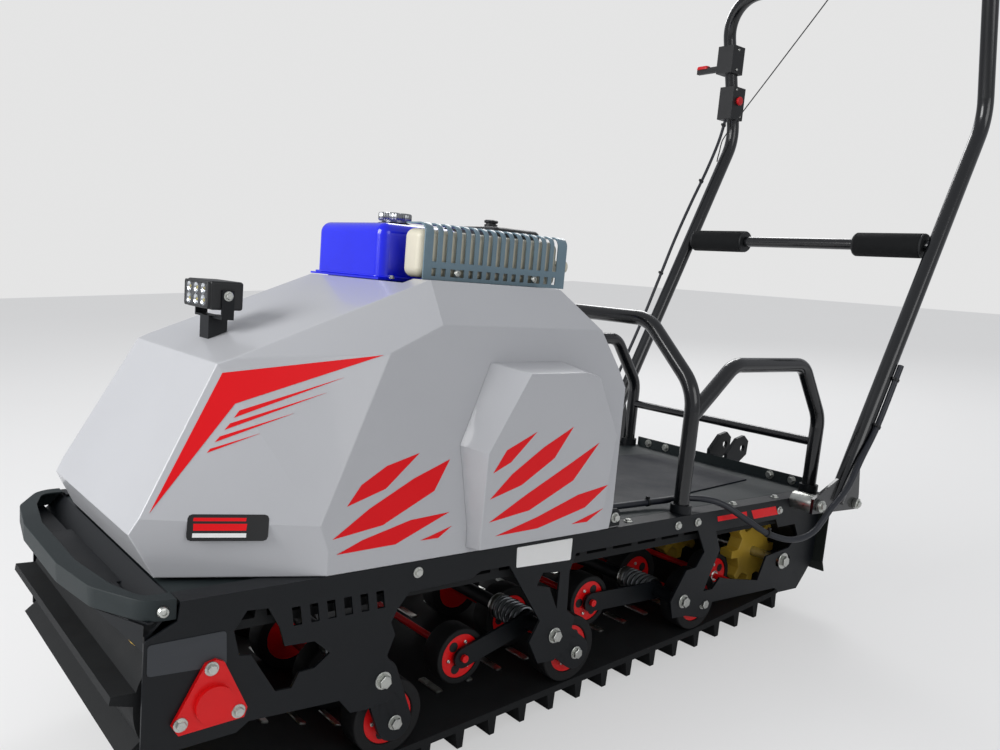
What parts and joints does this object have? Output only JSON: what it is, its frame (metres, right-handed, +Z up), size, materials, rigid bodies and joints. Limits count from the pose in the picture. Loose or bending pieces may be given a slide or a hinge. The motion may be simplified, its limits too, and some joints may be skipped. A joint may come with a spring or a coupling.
{
  "type": "tracked snow tug",
  "caption": "Tracked snow tug with a boxy hood over a small engine, a rear load deck with side rails, a tow hitch and a handlebar that folds forward.",
  "frame": {"origin": "on the ground under the middle of the whole machine's box, handlebar and lever included", "axes": "+X forward, +Y to the machine's left, +Z up; the chassis stands 4.45 degrees nose up"},
  "size_m": [1.8941, 0.7704, 1.3982],
  "materials": {
    "black_coat": "satin textured powder coat",
    "deck_coat": "textured powder coat",
    "deck_mat": "matt sheet",
    "track_rubber": "moulded",
    "zinc_steel": "zinc plated",
    "nylon": "moulded",
    "red_paint": "gloss",
    "spring_steel": "zinc plated",
    "roller_rubber": "moulded",
    "hood_paint": "gloss",
    "engine_metal": "cast",
    "blue_paint": "gloss",
    "chrome_cap": "polished",
    "cream_paint": "satin",
    "guard_steel": "satin",
    "black_plastic": "moulded",
    "tube_coat": "gloss powder coat",
    "flap_rubber": "sheet",
    "foam": "closed-cell foam",
    "red_plastic": "moulded",
    "cable_sleeve": "extruded sleeve"
  },
  "bodies": {
    "chassis": {"side_frame_left": "black_coat", "side_frame_right": "black_coat", "floor_pan": "black_coat", "deck_panel": "deck_coat", "deck_mat": "deck_mat", "front_bumper": "black_coat", "nose_gussets": "black_coat", "nose_plate": "black_coat", "track": "track_rubber", "drive_shaft": "zinc_steel", "drive_wheels": "nylon", "idler_shaft": "zinc_steel", "idler_wheels": "nylon", "bearing_flanges": "red_paint", "pivot_tubes": "black_coat", "trailing_arms": "black_coat", "spring_packs": "spring_steel", "road_discs": "red_paint", "road_tyres": "roller_rubber", "return_discs": "red_paint", "return_tyres": "roller_rubber", "return_links": "black_coat", "tensioners": "zinc_steel", "hood_shell": "hood_paint", "hood_panel_left": "hood_paint", "hood_panel_right": "hood_paint", "engine_block": "engine_metal", "fuel_tank": "blue_paint", "fuel_cap": "chrome_cap", "muffler": "cream_paint", "muffler_guard": "guard_steel", "air_filter": "black_plastic", "work_light": "black_plastic", "light_bracket": "guard_steel", "front_arch": "tube_coat", "side_hoops": "tube_coat", "rear_cross_bar": "tube_coat", "post_feet": "black_coat", "tow_hitch": "black_coat", "mud_flap": "flap_rubber", "handle_bearings": "zinc_steel", "cable_left_lower": "cable_sleeve", "cable_right_lower": "cable_sleeve"},
    "handlebar": {"handlebar": "tube_coat", "foam_grips": "foam", "throttle_lever": "red_plastic", "switch_box": "black_plastic", "lock_bolts": "zinc_steel", "cable_left_upper": "cable_sleeve", "cable_right_upper": "cable_sleeve"}
  },
  "joints": [
    {"name": "handlebar_fold", "type": "hinge", "parent": "chassis", "child": "handlebar", "pos_m": [-0.41132, 0.02783, 0.25644], "axis": [0, 1, 0], "range_deg": [0, 80]}
  ]
}
